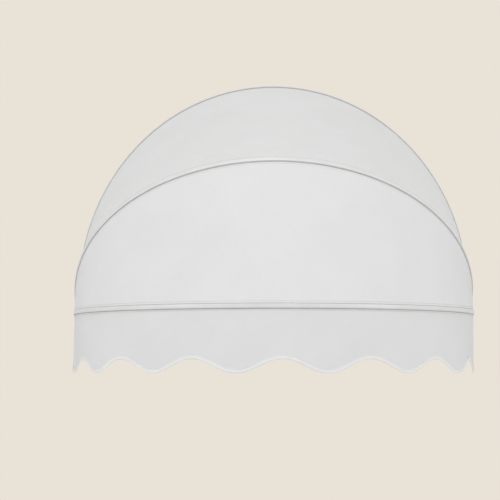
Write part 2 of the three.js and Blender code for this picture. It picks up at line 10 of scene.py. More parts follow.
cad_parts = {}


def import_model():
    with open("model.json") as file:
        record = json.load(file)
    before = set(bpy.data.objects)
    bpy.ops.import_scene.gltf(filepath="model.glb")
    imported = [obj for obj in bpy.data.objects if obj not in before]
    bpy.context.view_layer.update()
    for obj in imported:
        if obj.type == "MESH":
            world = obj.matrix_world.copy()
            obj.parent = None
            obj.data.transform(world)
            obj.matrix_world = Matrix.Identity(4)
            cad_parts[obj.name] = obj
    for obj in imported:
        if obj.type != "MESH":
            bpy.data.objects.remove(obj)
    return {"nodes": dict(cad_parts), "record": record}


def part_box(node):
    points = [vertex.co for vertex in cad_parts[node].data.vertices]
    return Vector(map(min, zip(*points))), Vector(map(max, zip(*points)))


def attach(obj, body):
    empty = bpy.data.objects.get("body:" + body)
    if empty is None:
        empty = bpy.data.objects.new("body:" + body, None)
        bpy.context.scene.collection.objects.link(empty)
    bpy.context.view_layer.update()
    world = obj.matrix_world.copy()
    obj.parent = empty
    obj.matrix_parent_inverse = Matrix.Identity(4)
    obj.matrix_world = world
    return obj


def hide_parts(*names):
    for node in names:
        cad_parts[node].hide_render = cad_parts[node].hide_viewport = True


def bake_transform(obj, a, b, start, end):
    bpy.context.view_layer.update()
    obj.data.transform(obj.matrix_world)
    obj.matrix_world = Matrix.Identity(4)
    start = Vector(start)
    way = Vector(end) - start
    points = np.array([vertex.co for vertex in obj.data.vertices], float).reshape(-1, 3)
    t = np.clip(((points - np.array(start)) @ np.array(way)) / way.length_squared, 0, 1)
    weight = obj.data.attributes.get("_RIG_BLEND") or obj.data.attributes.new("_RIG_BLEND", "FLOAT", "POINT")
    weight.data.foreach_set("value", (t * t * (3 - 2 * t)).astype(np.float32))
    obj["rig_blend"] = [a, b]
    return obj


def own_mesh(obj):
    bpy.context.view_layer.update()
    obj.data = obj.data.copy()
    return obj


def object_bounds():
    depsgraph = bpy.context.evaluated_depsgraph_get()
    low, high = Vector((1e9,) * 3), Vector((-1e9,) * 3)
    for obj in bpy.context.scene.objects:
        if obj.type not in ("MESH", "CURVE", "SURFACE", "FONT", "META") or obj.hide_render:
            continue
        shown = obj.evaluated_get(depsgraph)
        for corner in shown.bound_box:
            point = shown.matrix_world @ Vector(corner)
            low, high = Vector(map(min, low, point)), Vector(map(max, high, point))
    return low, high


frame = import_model()
cad_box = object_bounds()

# Looks of a folding dome awning: fine tubes, stretched cloth with hems and stitches, and turned fasteners
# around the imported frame. The wall is the plane y = 0 and the awning stands out from it towards -y.

# Sizes in metres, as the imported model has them
TUBE_DEPTH = 0.020  # towards the outside of the arch
TUBE_WIDTH = 0.012  # across the hoop's plane
TUBE_WALL = 0.0014
TUBE_CORNER = 0.0014  # rounding of the tube's inner edges
CROWN_CORNER = 0.0012  # and of its outer ones
CROWN_RISE = 0.0003  # the outer face is this much higher in its middle
HOOP_LEG = 0.065
LUG_REACH = 0.075  # from the pivot to the end of a swinging hoop's tube
WALL_HOOP_START = 0.036  # from the pivot line to the lower end of the wall hoop's tube
MIDDLE_ANGLE = math.radians(35)
GROOVE_OUT = 0.0061  # the fabric's line, outside the middle of the tube
GROOVE_SLOT = 0.0018
GROOVE_FLARE = 0.0005
BORE_RADIUS = 0.002
BORE_SIDE = 0.003414
KEDER_RADIUS = 0.0015
FABRIC_EDGE = 0.0052  # edge of the fabric in its groove, from the hoop's plane
FABRIC_BEND = 0.007  # where the fabric turns, just outside the groove
VALANCE_DROP = 0.178
SCALLOP_DEPTH = 0.038
SCALLOP_PITCH = 0.245
SCALLOP_NOTCH = 0.018
BOLT = 0.008
BOLT_HEAD = 0.015
BOLT_HEAD_HEIGHT = 0.005
BOLT_SOCKET = 0.005
HEAD_FLAT = 0.7  # flat top of a head, as a share of its width
HEAD_DOME = 0.6  # rounded part of a head, as a share of its height
HEAD_SIDE = 0.93  # where a head's side ends, as a share of its height
HEAD_SEAT = 0.97  # the head's underside, as a share of its width
THREAD_DEPTH = 0.4  # as a share of the thread's pitch
THREAD_POINT = 0.5  # the same at the end of a screw
BOLT_THREAD = 0.00125
NUT_ACROSS = 0.015
NUT_EDGE = 0.0006
WASHER = 0.017
WASHER_HOLE = 0.0092
WASHER_EDGE = 0.0003
SCREW = 0.004
SCREW_HEAD = 0.008
SCREW_HEAD_HEIGHT = 0.0024
SCREW_SOCKET = 0.0028
SCREW_THREAD = 0.0008
SHEAVE = 0.026
SHEAVE_WIDTH = 0.012
SHEAVE_BORE = 0.0072
SHEAVE_BORE_EDGE = 0.0003
SHEAVE_HUB = 0.0022  # face of the hub, from the bore
SHEAVE_HUB_SLOPE = 0.0005
SHEAVE_DISH = 0.0011  # depth of the web below the faces
SHEAVE_RIM = 0.0030  # face of the rim, from its outside
SHEAVE_RIM_SLOPE = 0.0006
SHEAVE_RIM_EDGE = 0.0005
SHEAVE_FLANGE = 0.0012
LINE_GROOVE_DEPTH = 0.0046
LINE_GROOVE_HALF = 0.0045
PIN = 0.006
PIN_HEAD = 0.010
PIN_HEAD_HEIGHT = 0.0015
EYE_RING = 0.016
EYE_WIRE = 0.0036
EYE_PAD = 0.009
EYE_PAD_HEIGHT = 0.003
EYE_PAD_EDGE = 0.0006
SOFT_EDGE = 0.0006  # rounding of the brackets' and lugs' edges

# Looks of the cloth, in metres
CLOTH = 0.0006
HEM = 0.0006  # more cloth where an edge is turned over
HEM_WIDTH = 0.008
HEM_SEAM = 0.0045  # the hem's stitches, from its edge
CORNER_CUT = 0.016  # how far a panel's ends are cut back between their hoops
# Grey flaps of welt on the cloth beside the hoops are painted shade: they darken the lines under and beside
# the hoops where shade falls.
WALL_SHADE_FLAP = 0.009  # the grey welt flap on the cloth beyond each hoop, painted shade along the hoop
MIDDLE_SHADE_FLAP = 0.0014
FRONT_SHADE_FLAP = 0.0012
LOWER_SHADE_FLAP = 0.0001
SHADE_FLAP = 0.0004
SHADE_FLAP_END = 0.0004  # share of a shade flap's length left off at its ends
STAY = 0.020  # cloth beside a hoop that goes with it when the awning folds
STAY_WALL = 0.045  # the same beside the wall hoop, over the pulley
STAY_SHARE = 0.2  # at most this much of the way between two hoops
SAG = 0.012  # inward sag of a panel, as a share of its chord
EDGE_PULL = 0.03  # how far a panel keeps its groove's direction
CORNER_WRINKLE = 0.0016
WRINKLED_FROM = 0.70  # share of a panel's half length where the wrinkles begin
WRINKLES = 2.6  # waves between two hoops
WRINKLE_SWAY = 0.22  # how far the waves wander, in waves
WRINKLE_SWAY_RATE = 11
WRINKLE_PHASE = 1.3
HELD_FLAT = 0.03  # the hem at a panel's end lies flat over this length
SLACK = 0.0007  # soft unevenness over a panel
SLACK_LENGTH = 0.43
SLACK_PHASE = 0.8
SLACK_SLANT = 4
RIPPLE = 0.0026  # swing of the valance at its lower edge
RIPPLE_LENGTHS = (0.31, 0.173)
RIPPLE_PHASES = (0.6, 2.1)
SHORT_RIPPLE = 0.45  # the short waves, as a share of the long ones
HANG_CURVE = 1.4  # how the swing grows towards the lower edge
HANG_LIMIT = 1.1
TAPE_WIDTH = 0.010
TAPE_SEAM = 0.0082  # the tape's stitches, from the scalloped edge
TAPE_LIFT = 0.0013

# The tape's section, as distances in from the scalloped edge and out from the cloth
TAPE_FACE = [(TAPE_WIDTH, 0.0005), (0.0098, 0.0011), (0.0062, 0.0014), (0.0024, 0.0015), (0.0002, 0.0012)]
TAPE_FOLD = [(-0.0010, 0.0)]
TAPE_LINING = [(0.0096, -0.0005), (0.0004, -0.0005), (0.0004, 0.0005), (0.0096, 0.0005)]
TAPE_TURN = 0.05  # flat width over which its weave runs round the fold

# Stitches
STITCH = 0.0032
STITCH_PITCH = 0.0045
STITCH_RADIUS = 0.0004
STITCH_SIDES = 6
STITCH_ALONG = np.array([-0.5, -0.4, 0.0, 0.4, 0.5]) * STITCH
STITCH_WIDTHS = np.array([0.25, 0.9, 1.0, 0.9, 0.25]) * STITCH_RADIUS
STITCH_HEIGHTS = np.array([-0.5, 0.35, 0.6, 0.35, -0.5]) * STITCH_RADIUS
STITCH_POINTS = len(STITCH_ALONG) * STITCH_SIDES

# Fineness
HOOP_STATIONS = 233
PANEL_COLUMNS = 261
PANEL_ROWS = 61
VALANCE_COLUMNS = 521
VALANCE_ROWS = 25
FLAP_ROWS = 5
ARCH_TABLE = 4001
TURNS = 48
SMALL_STEP = 0.001  # for directions on a panel
SLOPE_STEP = 0.0001  # for the slope of the scalloped edge

# Weave
WAVE_REPEAT = 0.314  # a wave texture repeats over this, divided by its scale
SLUB_SCALE = (1400, 25)  # across and along a thread
UNEVEN_RANGE = 3.5

# Edges sharper than this stay sharp when a piece is shaded smooth
TUBE_CREASE = math.radians(32)
CLOTH_CREASE = math.radians(50)
PART_CREASE = math.radians(40)

# Camera, fitted to the hoops and scallops in a frame of 500 by 500
CAMERA_PLACE = (-0.0416, -5.2210, -0.8458)
CAMERA_PITCH = 4.040
CAMERA_YAW = 0.329
CAMERA_LENS = 122.07
SENSOR = 36.0

FLOOR_DROP = 0.9  # floor below the lowest point of the awning
FLOOR_RADIUS = 6.0
FLOOR_SIDES = 96
FLOOR_FADE = 2.0  # the floor runs into the background from here out
FLOOR_COLOR = (0.880, 0.821, 0.734)
FLOOR_BOUNCE = (0.78, 0.78, 0.78)
BACKDROP = (0.815, 0.760, 0.680)

WORLD_STRENGTH = 0.57
LAMPS = {  # place, size and power
    "key": ((-0.3, -3.3, 3.9), 2.2, 76),
    "left_fill": ((-4.2, -3.0, 0.3), 2.5, 58),
    "right_fill": ((4.2, -3.0, 0.3), 2.5, 60),
    "back_fill": ((0.6, 4.4, 0.2), 2.5, 36),
}

half_depth = TUBE_DEPTH / 2
half_width = TUBE_WIDTH / 2
bolt_low, bolt_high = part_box("pivot_bolt_right")
pivot = (bolt_low + bolt_high) / 2
_, wall_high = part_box("wall_hoop")
arch_half_width = wall_high.x - half_depth
arch_rise = wall_high.z - pivot.z - half_depth - HOOP_LEG


# The hoops' line, the same for all three, by its distance from the crown, positive to the right
arch_turn = np.linspace(0, math.pi, ARCH_TABLE)
arch_across = arch_half_width * np.cos(arch_turn)
arch_up = arch_rise * np.sin(arch_turn)
arch_run = np.concatenate([[0], np.cumsum(np.hypot(np.diff(arch_across), np.diff(arch_up)))])
arch_half = arch_run[-1] / 2
line_half = arch_half + HOOP_LEG
swing_end = line_half - LUG_REACH
wall_end = line_half - WALL_HOOP_START


def hoop_line(s):
    """Across, reach from the pivot line, and the outward direction in both, at a distance from the crown."""
    turn = np.interp(arch_half - s, arch_run, arch_turn)
    past = np.maximum(np.abs(s) - arch_half, 0)
    across = arch_half_width * np.cos(turn)
    reach = HOOP_LEG + arch_rise * np.sin(turn) - past
    out_across = arch_rise * np.cos(turn)
    out_reach = arch_half_width * np.sin(turn)
    size = np.hypot(out_across, out_reach)
    return across, reach, out_across / size, out_reach / size


class Hoop:
    """The plane of one hoop: its angle above level and its foot in front of the wall."""

    def __init__(self, angle, foot):
        self.angle = angle
        self.foot = foot
        self.side = np.array([0, -math.sin(angle), -math.cos(angle)])

    def point(self, s, out, side):
        across, reach, out_across, out_reach = hoop_line(s)
        across = across + out * out_across
        reach = reach + out * out_reach
        y = self.foot - reach * math.cos(self.angle) - side * math.sin(self.angle)
        z = pivot.z + reach * math.sin(self.angle) - side * math.cos(self.angle)
        return np.stack(np.broadcast_arrays(across, y, z), -1)

    def outward(self, s):
        _, _, out_across, out_reach = hoop_line(s)
        return np.stack(
            [out_across, -out_reach * math.cos(self.angle), out_reach * math.sin(self.angle)], -1)

    def crown(self):
        return self.point(np.zeros(1), 0, 0)[0]


wall = Hoop(math.pi / 2, -half_width)
middle = Hoop(MIDDLE_ANGLE, pivot.y)
front = Hoop(0, pivot.y)


# Meshes
def new_mesh(name, points, faces, look, cloth=None, crease=None):
    """A mesh object from an array of points. cloth holds each point's place in its flat cut."""
    mesh = bpy.data.meshes.new(name)
    mesh.from_pydata(np.asarray(points).reshape(-1, 3).tolist(), [], faces)
    outside = bmesh.new()
    outside.from_mesh(mesh)
    bmesh.ops.recalc_face_normals(outside, faces=outside.faces)
    outside.to_mesh(mesh)
    outside.free()
    mesh.shade_smooth()
    if crease is not None:
        mesh.set_sharp_from_angle(angle=crease)
    if cloth is not None:
        flat = mesh.attributes.new("cloth", "FLOAT_VECTOR", "POINT")
        flat.data.foreach_set("vector", np.asarray(cloth, np.float32).ravel())
    mesh.materials.append(look)
    made = bpy.data.objects.new(name, mesh)
    bpy.context.scene.collection.objects.link(made)
    return made


def grid_faces(rows, columns, first=0, closed=False, flip=False):
    """Quads over a grid of points, closed round its columns if asked."""
    faces = []
    for row in range(rows - 1):
        for column in range(columns if closed else columns - 1):
            beside = (column + 1) % columns
            here = first + row * columns
            quad = (here + column, here + beside, here + columns + beside, here + columns + column)
            faces.append(quad[::-1] if flip else quad)
    return faces


def unit(vectors):
    return vectors / np.linalg.norm(vectors, axis=-1, keepdims=True)


def normals_of(points):
    return unit(np.cross(np.gradient(points, axis=0), np.gradient(points, axis=1)))


def shell(points, thickness):
    """Points and faces of a closed thin sheet on both sides of a surface."""
    rows, columns = points.shape[:2]
    normal = normals_of(points) * (thickness / 2)[..., None]
    count = rows * columns
    faces = grid_faces(rows, columns) + grid_faces(rows, columns, first=count, flip=True)
    rim = [row * columns for row in range(rows)]
    rim += [(rows - 1) * columns + column for column in range(1, columns)]
    rim += [row * columns + columns - 1 for row in range(rows - 2, -1, -1)]
    rim += [column for column in range(columns - 2, 0, -1)]
    for here, beside in zip(rim, rim[1:] + rim[:1]):
        faces.append((here, beside, count + beside, count + here))
    return np.concatenate([(points + normal).reshape(-1, 3), (points - normal).reshape(-1, 3)]), faces


def area_of(points):
    diagonal = points[1:, 1:] - points[:-1, :-1]
    other = points[1:, :-1] - points[:-1, 1:]
    return float(np.linalg.norm(np.cross(diagonal, other), axis=-1).sum() / 2)


def arc(side, out, radius, start, end, steps):
    turn = np.radians(np.linspace(start, end, steps + 1))
    return [(side + radius * math.cos(t), out + radius * math.sin(t)) for t in turn]


def tube_section():
    """Half of the tube's outline, from the middle of its inner face to the middle of its crown, mirrored."""
    mouth = math.degrees(math.asin(GROOVE_SLOT / 2 / BORE_RADIUS))
    shoulder = half_depth - CROWN_RISE
    half = arc(half_width - TUBE_CORNER, TUBE_CORNER - half_depth, TUBE_CORNER, -90, 0, 4)
    half.append((half_width, GROOVE_OUT - GROOVE_SLOT / 2 - GROOVE_FLARE))
    half += arc(BORE_SIDE, GROOVE_OUT, BORE_RADIUS, -mouth, mouth - 360, 10)
    half.append((half_width, GROOVE_OUT + GROOVE_SLOT / 2))
    half += arc(half_width - CROWN_CORNER, shoulder - CROWN_CORNER, CROWN_CORNER, 0, 80, 4)
    half.append((half_width / 2, half_depth - CROWN_RISE / 4))
    return half + [(0, half_depth)] + [(-side, out) for side, out in half[::-1]]


def hollow_section():
    side = half_width - TUBE_WALL
    top = GROOVE_OUT - BORE_RADIUS - TUBE_WALL
    return [(side, TUBE_WALL - half_depth), (side, top), (-side, top), (-side, TUBE_WALL - half_depth)]


def round_section(radius, side, out, steps):
    return arc(side, out, radius, 0, 360, steps)[:-1]


def sweep(name, hoop, end, outline, look, hole=None, crease=None):
    """A section of (side, out) points swept along a hoop, with a hole through it if given."""
    s = np.linspace(end, -end, HOOP_STATIONS)[:, None]
    loops = [outline] if hole is None else [outline, hole]
    points, faces, first = [], [], 0
    for loop, inside in zip(loops, (False, True)):
        side, out = np.array(loop).T
        rings = hoop.point(s, out[None, :], side[None, :])
        points.append(rings.reshape(-1, 3))
        faces += grid_faces(HOOP_STATIONS, len(loop), first, closed=True, flip=not inside)
        first += rings.shape[0] * rings.shape[1]
    flat = [[Vector((side, out, 0)) for side, out in loop] for loop in loops]
    sizes = [len(loop) for loop in loops]
    starts = [0, sizes[0] * HOOP_STATIONS]
    place = [starts[k] + i for k, size in enumerate(sizes) for i in range(size)]
    last = [(HOOP_STATIONS - 1) * size for size in sizes for _ in range(size)]
    for triangle in tessellate_polygon(flat):
        faces.append(tuple(place[i] for i in triangle))
        faces.append(tuple(place[i] + last[i] for i in triangle[::-1]))
    return new_mesh(name, np.concatenate(points), faces, look, crease=crease)


# Materials
def shader_of(name, color, roughness, metallic=0.0, **sockets):
    look = bpy.data.materials.new(name)
    look.use_nodes = True
    shader = look.node_tree.nodes["Principled BSDF"]
    shader.inputs["Base Color"].default_value = (*color, 1)
    shader.inputs["Roughness"].default_value = roughness
    shader.inputs["Metallic"].default_value = metallic
    for socket, value in sockets.items():
        shader.inputs[socket.replace("_", " ")].default_value = value
    return look, shader


def node(look, kind, links=None, values=None, **settings):
    """A shader node with its settings, constant inputs and linked inputs."""
    tree = look.node_tree
    made = tree.nodes.new("ShaderNode" + kind)
    for key, value in settings.items():
        setattr(made, key, value)
    for socket, value in (values or {}).items():
        made.inputs[socket].default_value = value
    for socket, source in (links or {}).items():
        tree.links.new(source, made.inputs[socket])
    return made


def object_place(look):
    return node(look, "TexCoord").outputs["Object"]


def cloth_place(look, scale=(1, 1, 1)):
    flat = node(look, "Attribute", attribute_name="cloth").outputs["Vector"]
    return node(look, "Mapping", {"Vector": flat}, {"Scale": scale}).outputs["Vector"]


def noise(look, place, scale, detail=3.0):
    made = node(look, "TexNoise", {"Vector": place}, {"Scale": scale, "Detail": detail})
    return made.outputs["Fac"]


def tint(look, shader, factor, low, high, start=0.35, end=0.65):
    """Base colour between two colours by a factor."""
    ramp = node(look, "ValToRGB", {"Fac": factor})
    ramp.color_ramp.elements[0].position = start
    ramp.color_ramp.elements[0].color = (*low, 1)
    ramp.color_ramp.elements[1].position = end
    ramp.color_ramp.elements[1].color = (*high, 1)
    look.node_tree.links.new(ramp.outputs["Color"], shader.inputs["Base Color"])


def vary_roughness(look, shader, factor, low, high):
    spread = node(look, "MapRange", {"Value": factor}, {"To Min": low, "To Max": high})
    look.node_tree.links.new(spread.outputs["Result"], shader.inputs["Roughness"])


def raise_bumps(look, shader, height, strength, distance):
    bump = node(look, "Bump", {"Height": height}, {"Strength": strength, "Distance": distance})
    look.node_tree.links.new(bump.outputs["Normal"], shader.inputs["Normal"])


def add(look, first, second, operation="ADD"):
    return node(look, "Math", {0: first, 1: second}, operation=operation).outputs["Value"]


def threads(look, place, direction, scale):
    made = node(look, "TexWave", {"Vector": place}, {"Scale": scale, "Distortion": 0.6, "Detail": 1.0},
                wave_type="BANDS", bands_direction=direction)
    return made.outputs["Fac"]


def woven(name, color, pitch, spread=0.045, roughness=0.85):
    """Plain weave: two sets of threads, with slubs along them and soft unevenness of the dye."""
    look, shader = shader_of(name, color, roughness, Sheen_Weight=0.12, Sheen_Roughness=0.5,
                             Specular_IOR_Level=0.25)
    flat = cloth_place(look)
    waves = WAVE_REPEAT / pitch
    weave = add(look, threads(look, flat, "X", waves), threads(look, flat, "Y", waves), "MULTIPLY")
    warp_slubs = noise(look, cloth_place(look, (*SLUB_SCALE, 1)), 1.0)
    weft_slubs = noise(look, cloth_place(look, (*SLUB_SCALE[::-1], 1)), 1.0)
    slubs = add(look, warp_slubs, weft_slubs)
    clouds = noise(look, flat, 7.0, 4.0)
    uneven = add(look, add(look, slubs, clouds), weave)
    low = tuple(c * (1 - spread) for c in color)
    high = tuple(c * (1 + spread) for c in color)
    evened = node(look, "Math", {0: uneven}, {1: 1 / UNEVEN_RANGE}, operation="MULTIPLY").outputs["Value"]
    tint(look, shader, evened, low, high, 0.36, 0.64)
    vary_roughness(look, shader, clouds, roughness - 0.06, roughness + 0.06)
    raise_bumps(look, shader, add(look, weave, slubs), 0.45, 0.0003)
    return look


def powder_coat():
    """White powder coat: faint orange peel and a slightly uneven gloss."""
    color = (0.705, 0.705, 0.700)
    look, shader = shader_of("white_powder_coat", color, 0.38, Specular_IOR_Level=0.45)
    place = object_place(look)
    peel = noise(look, place, 900.0, 2.0)
    haze = noise(look, place, 22.0, 5.0)
    tint(look, shader, haze, (0.690, 0.690, 0.684), (0.720, 0.720, 0.716))
    vary_roughness(look, shader, haze, 0.31, 0.47)
    raise_bumps(look, shader, peel, 0.10, 0.0002)
    return look


def bright_steel():
    """Zinc-plated steel with fine turning marks and patches of dulling."""
    look, shader = shader_of("bright_steel", (0.56, 0.57, 0.59), 0.3, 1.0)
    place = object_place(look)
    dull = noise(look, place, 160.0, 4.0)
    tint(look, shader, dull, (0.48, 0.49, 0.51), (0.62, 0.63, 0.645))
    vary_roughness(look, shader, dull, 0.24, 0.44)
    raise_bumps(look, shader, noise(look, place, 2600.0, 2.0), 0.08, 0.0001)
    return look


def black_nylon():
    """Moulded nylon with a fine spark texture and rubbed patches."""
    look, shader = shader_of("black_nylon", (0.022, 0.022, 0.024), 0.5, Specular_IOR_Level=0.4)
    place = object_place(look)
    rubbed = noise(look, place, 90.0, 4.0)
    tint(look, shader, rubbed, (0.017, 0.017, 0.018), (0.034, 0.034, 0.036))
    vary_roughness(look, shader, rubbed, 0.42, 0.62)
    raise_bumps(look, shader, noise(look, place, 1800.0, 2.0), 0.18, 0.0002)
    return look


def welt_bead():
    """Soft grey extruded welt with faint draw lines; the same grey colours the flaps beside the hoops as
    painted shade.
    """
    look, shader = shader_of("welt_bead", (0.42, 0.42, 0.42), 0.55)
    place = object_place(look)
    tint(look, shader, noise(look, place, 60.0), (0.39, 0.39, 0.39), (0.45, 0.45, 0.45))
    raise_bumps(look, shader, noise(look, place, 1200.0, 2.0), 0.1, 0.0002)
    return look


def thread():
    """Twisted sewing thread."""
    look, shader = shader_of("sewing_thread", (0.53, 0.53, 0.53), 0.7, Sheen_Weight=0.2)
    place = object_place(look)
    twist = node(look, "TexWave", {"Vector": place}, {"Scale": 900.0, "Distortion": 1.5},
                 bands_direction="DIAGONAL").outputs["Fac"]
    tint(look, shader, twist, (0.48, 0.48, 0.48), (0.58, 0.58, 0.58))
    raise_bumps(look, shader, twist, 0.4, 0.0002)
    return look


coat = powder_coat()
canvas = woven("canopy_canvas", (0.745, 0.745, 0.745), 0.0011)
tape = woven("binding_tape", (0.825, 0.825, 0.825), 0.0016, spread=0.05)
steel = bright_steel()
nylon = black_nylon()
bead_and_shade_grey = welt_bead()
sewing = thread()


# Hoops and the welt beads in their grooves
for name, hoop, end, body in (
        ("wall_hoop", wall, wall_end, "wall_frame"),
        ("middle_hoop", middle, swing_end, "middle_bow"),
        ("front_hoop", front, swing_end, "front_bow")):
    tube = sweep(name + "_tube", hoop, end, tube_section(), coat, hollow_section(), TUBE_CREASE)
    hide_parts(name)
    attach(tube, body)

for name, hoop, flank, body in (
        ("wall_keder", wall, 1, "wall_frame"),
        ("middle_upper_keder", middle, -1, "middle_bow"),
        ("middle_lower_keder", middle, 1, "middle_bow"),
        ("front_upper_keder", front, -1, "front_bow"),
        ("front_lower_keder", front, 1, "front_bow")):
    section = round_section(KEDER_RADIUS, flank * BORE_SIDE, GROOVE_OUT, 12)
    welt = sweep(name + "_bead", hoop, swing_end, section, bead_and_shade_grey, crease=TUBE_CREASE)
    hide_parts(name)
    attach(welt, body)


# Stitches
def stitch_row(centres, along, normals, lift):
    """Points and faces of one row of stitches: short rounded threads lying on the cloth."""
    around = np.radians(np.arange(0, 360, 360 / STITCH_SIDES))
    beside = np.cross(along, normals)
    points, faces = [], []
    rings = len(STITCH_ALONG)
    for i, centre in enumerate(centres):
        first = i * rings * len(around)
        for length, width, height in zip(STITCH_ALONG, STITCH_WIDTHS, STITCH_HEIGHTS):
            core = centre + along[i] * length + normals[i] * (lift + height)
            points.append(core + width * (np.cos(around)[:, None] * beside[i]
                                          + np.sin(around)[:, None] * normals[i]))
        faces += grid_faces(rings, len(around), first, closed=True)
        faces.append(tuple(range(first, first + len(around)))[::-1])
        last = first + (rings - 1) * len(around)
        faces.append(tuple(range(last, last + len(around))))
    return np.concatenate(points), faces


def stitches(name, rows, look):
    """One object from several rows of (centres, along, normals, lift)."""
    points, faces, first = [], [], 0
    for row in rows:
        row_points, row_faces = stitch_row(*row)
        points.append(row_points)
        faces += [tuple(first + i for i in face) for face in row_faces]
        first += len(row_points)
    return new_mesh(name, np.concatenate(points), faces, look)


# Canopy panels
def ease(v):
    return 3 * v ** 2 - 2 * v ** 3


def ease_back(share):
    return 0.5 - np.sin(np.arcsin(1 - 2 * share) / 3)


def panel_end(share):
    """Where a panel is cut off, as a distance from the crown, at a share of the way between its hoops."""
    return swing_end - CORNER_CUT * 4 * share * (1 - share)


def panel_chord(upper, lower, s):
    start = upper.point(s, GROOVE_OUT, FABRIC_BEND)
    return np.linalg.norm(lower.point(s, GROOVE_OUT, -FABRIC_BEND) - start, axis=-1)


def panel_surface(upper, lower, s, v):
    """Points of a panel between two hoops, at places along them and from the first to the second."""
    start = upper.point(s, GROOVE_OUT, FABRIC_BEND)
    end = lower.point(s, GROOVE_OUT, -FABRIC_BEND)
    share = ease(v)
    leave = EDGE_PULL * (v ** 3 - 2 * v ** 2 + v)
    arrive = EDGE_PULL * (v ** 3 - v ** 2)
    out = unit(upper.outward(s) * (1 - share)[..., None] + lower.outward(s) * share[..., None])
    near_end = np.clip((np.abs(s) / swing_end - WRINKLED_FROM) / (1 - WRINKLED_FROM), 0, 1)
    held_flat = np.clip((panel_end(share) - np.abs(s)) / HELD_FLAT, 0, 1)
    sway = WRINKLE_SWAY * np.sin(WRINKLE_SWAY_RATE * s)
    wrinkle = np.sin(2 * math.pi * (WRINKLES * share + sway) + WRINKLE_PHASE)
    slack = np.sin(2 * math.pi * s / SLACK_LENGTH + SLACK_PHASE)
    slack = slack * np.sin(2 * math.pi * share + SLACK_SLANT * s)
    lift = CORNER_WRINKLE * near_end ** 2 * held_flat * wrinkle + SLACK * slack * (1 - near_end)
    lift = lift - SAG * panel_chord(upper, lower, s)
    points = start * (1 - share)[..., None] + end * share[..., None]
    points = points + leave[..., None] * upper.side + arrive[..., None] * lower.side
    return points + (4 * share * (1 - share) * lift)[..., None] * out


def follow(upper, lower, s, share, stay):
    """How much of the second hoop's motion a place on a panel takes, all or none beside the hoops."""
    chord = panel_chord(upper, lower, s)
    first, last = (np.minimum(length, STAY_SHARE * chord) for length in stay)
    return np.clip((share * chord - first) / (chord - first - last), 0, 1)


def panel_cloth(name, upper, lower, stay):
    """The cloth of a panel, how each point follows the hoops, and the cloth's area."""
    v = np.linspace(0, 1, PANEL_ROWS)[None, :]
    s = np.linspace(1, -1, PANEL_COLUMNS)[:, None] * panel_end(ease(v))
    first, last = s[:, :1], s[:, -1:]
    surface = np.concatenate([
        upper.point(first, GROOVE_OUT, FABRIC_EDGE),
        panel_surface(upper, lower, s, v),
        lower.point(last, GROOVE_OUT, -FABRIC_EDGE)], 1)
    s = np.concatenate([first, s, last], 1)
    share = np.broadcast_to(ease(np.concatenate([v[:, :1], v, v[:, -1:]], 1)), s.shape)
    chord = panel_chord(upper, lower, s)
    to_edge = np.minimum(np.minimum(share, 1 - share) * chord, panel_end(share) - np.abs(s))
    thickness = CLOTH + HEM * np.clip((HEM_WIDTH - to_edge) / (HEM_WIDTH / 4), 0, 1)
    points, faces = shell(surface, thickness)
    flat = np.stack([s, share * chord, 0 * s], -1).reshape(-1, 3)
    made = new_mesh(name, points, faces, canvas, cloth=np.concatenate([flat, flat]), crease=CLOTH_CREASE)
    return made, np.tile(follow(upper, lower, s, share, stay).ravel(), 2), area_of(surface)


def shade_flap_piece(name, surface):
    """A grey welt flap on the outside of a hemmed edge: painted shade along the hoop."""
    surface = surface + normals_of(surface) * (CLOTH + HEM + SHADE_FLAP) / 2
    points, faces = shell(surface, np.full(surface.shape[:2], SHADE_FLAP))
    made = new_mesh(name, points, faces, bead_and_shade_grey, crease=CLOTH_CREASE)
    return made


# Painted shade: a grey flap on the cloth beside a hoop, darkening the line where the hoop's shade falls.
def panel_shade_flap(name, upper, lower, width, at_lower):
    s = np.linspace(swing_end, -swing_end, PANEL_COLUMNS)[:, None] * (1 - SHADE_FLAP_END)
    share = np.linspace(0, 1, FLAP_ROWS)[None, :] * width / panel_chord(upper, lower, s)
    if at_lower:
        beside = lower.point(s, GROOVE_OUT, -half_width - SHADE_FLAP)
        surface = panel_surface(upper, lower, s, ease_back(1 - share[:, ::-1]))
        made = shade_flap_piece(name, np.concatenate([surface, beside], 1))
    else:
        beside = upper.point(s, GROOVE_OUT, half_width + SHADE_FLAP)
        surface = panel_surface(upper, lower, s, ease_back(share))
        made = shade_flap_piece(name, np.concatenate([beside, surface], 1))
    return made, np.full(len(made.data.vertices), float(at_lower))


def panel_seam(upper, lower, s, v, outer_lift):
    """Rows of stitches on both faces of a panel."""
    here = panel_surface(upper, lower, s, v)
    along = panel_surface(upper, lower, s + SMALL_STEP, v) - here
    across = panel_surface(upper, lower, s, v + SMALL_STEP) - here
    normal = unit(np.cross(across, along))
    ahead = unit(np.gradient(here, axis=0))
    lift = (CLOTH + HEM) / 2
    return [(here, ahead, normal, lift + outer_lift), (here, ahead, -normal, lift)]


def panel_stitches(name, upper, lower, shade_flap, stay):
    rows, weights = [], []
    places = np.arange(-swing_end + HEM_WIDTH, swing_end - HEM_WIDTH, STITCH_PITCH)
    hem = HEM_SEAM / panel_chord(upper, lower, places)
    seams = [(places, ease_back(hem), SHADE_FLAP if shade_flap > HEM_SEAM else 0), (places, ease_back(1 - hem), 0)]
    end_width = float(panel_chord(upper, lower, np.array([swing_end]))[0])
    down = np.linspace(0, 1, int(end_width / STITCH_PITCH))[1:-1]
    for hand in (1, -1):
        seams.append((hand * (panel_end(down) - HEM_SEAM), ease_back(down), 0))
    for s, v, outer_lift in seams:
        made = panel_seam(upper, lower, s, v, outer_lift)
        rows += made
        weights += [np.repeat(follow(upper, lower, s, ease(v), stay), STITCH_POINTS)] * len(made)
    return stitches(name, rows, sewing), np.concatenate(weights)


